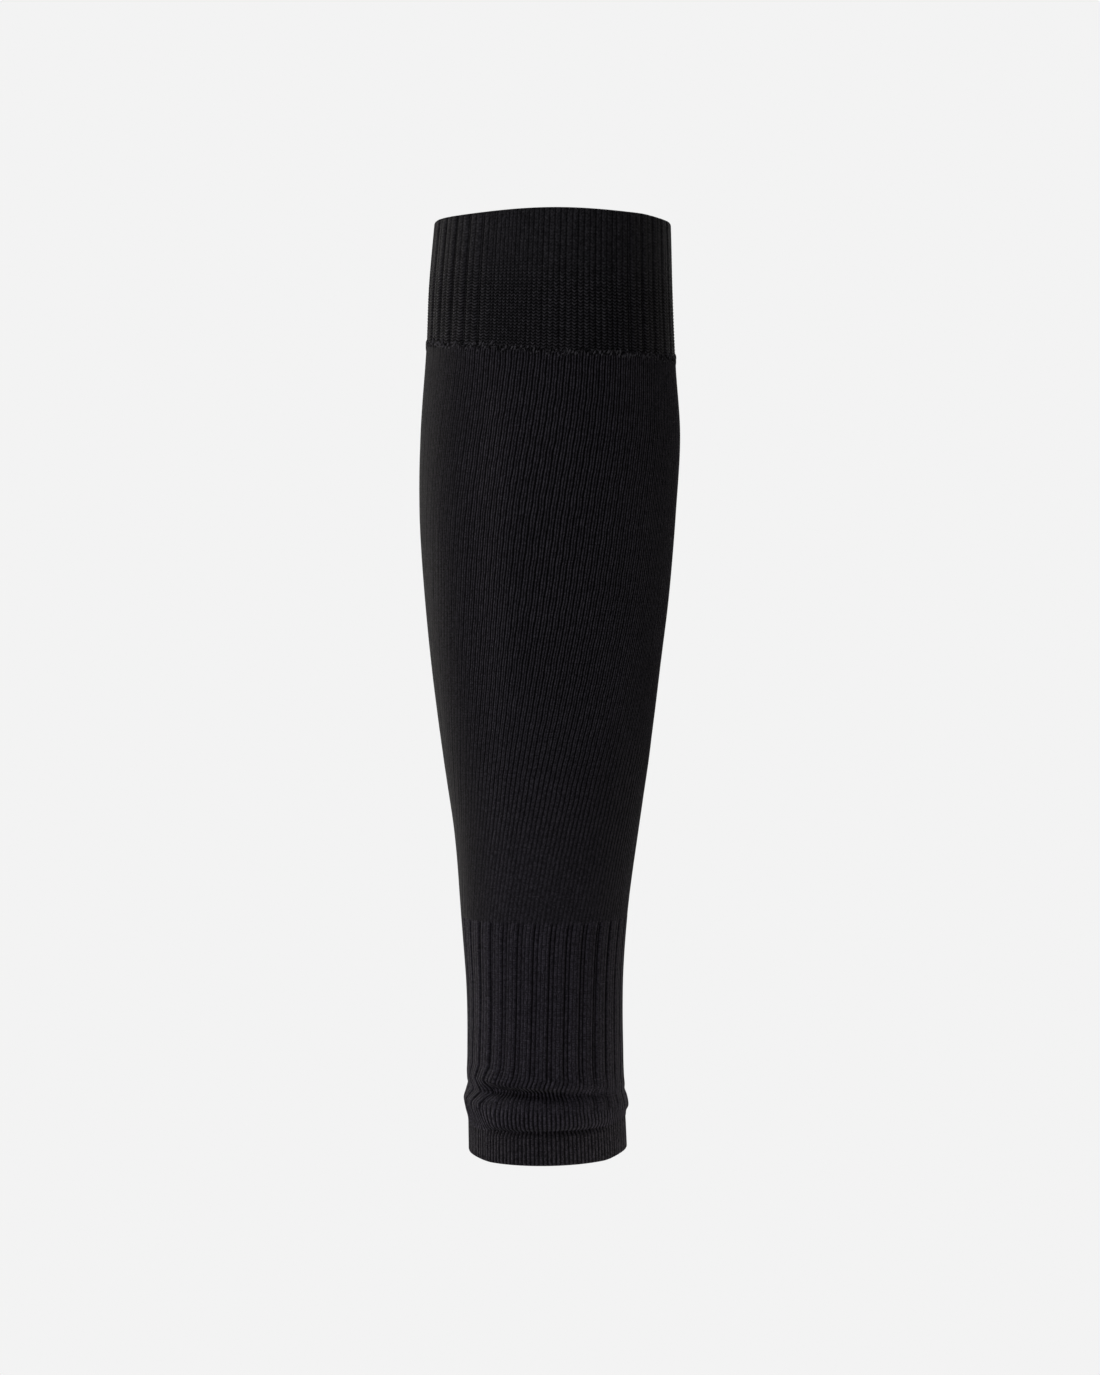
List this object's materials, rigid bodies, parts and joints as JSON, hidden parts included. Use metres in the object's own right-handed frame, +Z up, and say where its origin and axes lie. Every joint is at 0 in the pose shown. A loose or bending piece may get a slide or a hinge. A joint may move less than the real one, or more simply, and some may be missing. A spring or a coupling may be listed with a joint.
{
  "type": "footless football sock",
  "caption": "Knitted footless sock that covers a lower leg from below the knee to the ankle, with a ribbed cuff, plain calf, ribbed slouched ankle and turned hem.",
  "frame": {"origin": "middle of the upper opening, at the level of the cuff's upper edge, where the leg goes in below the knee", "axes": "+Z up along the leg towards the knee, -Y towards the shin and +Y towards the calf, +X to the right as seen from the shin"},
  "size_m": [0.1032, 0.1162, 0.3708],
  "materials": {
    "rib_knit": "black ribbed nylon and elastane knit, matt",
    "jersey_knit": "black plain jersey knit of fine nylon, matt with a soft sheen at the edges",
    "linking_yarn": "black textured yarn, matt"
  },
  "bodies": {
    "root": {"top_cuff": "rib_knit", "cuff_seam": "linking_yarn", "leg": "jersey_knit", "ankle_rib": "rib_knit", "hem_band": "rib_knit"}
  },
  "joints": []
}
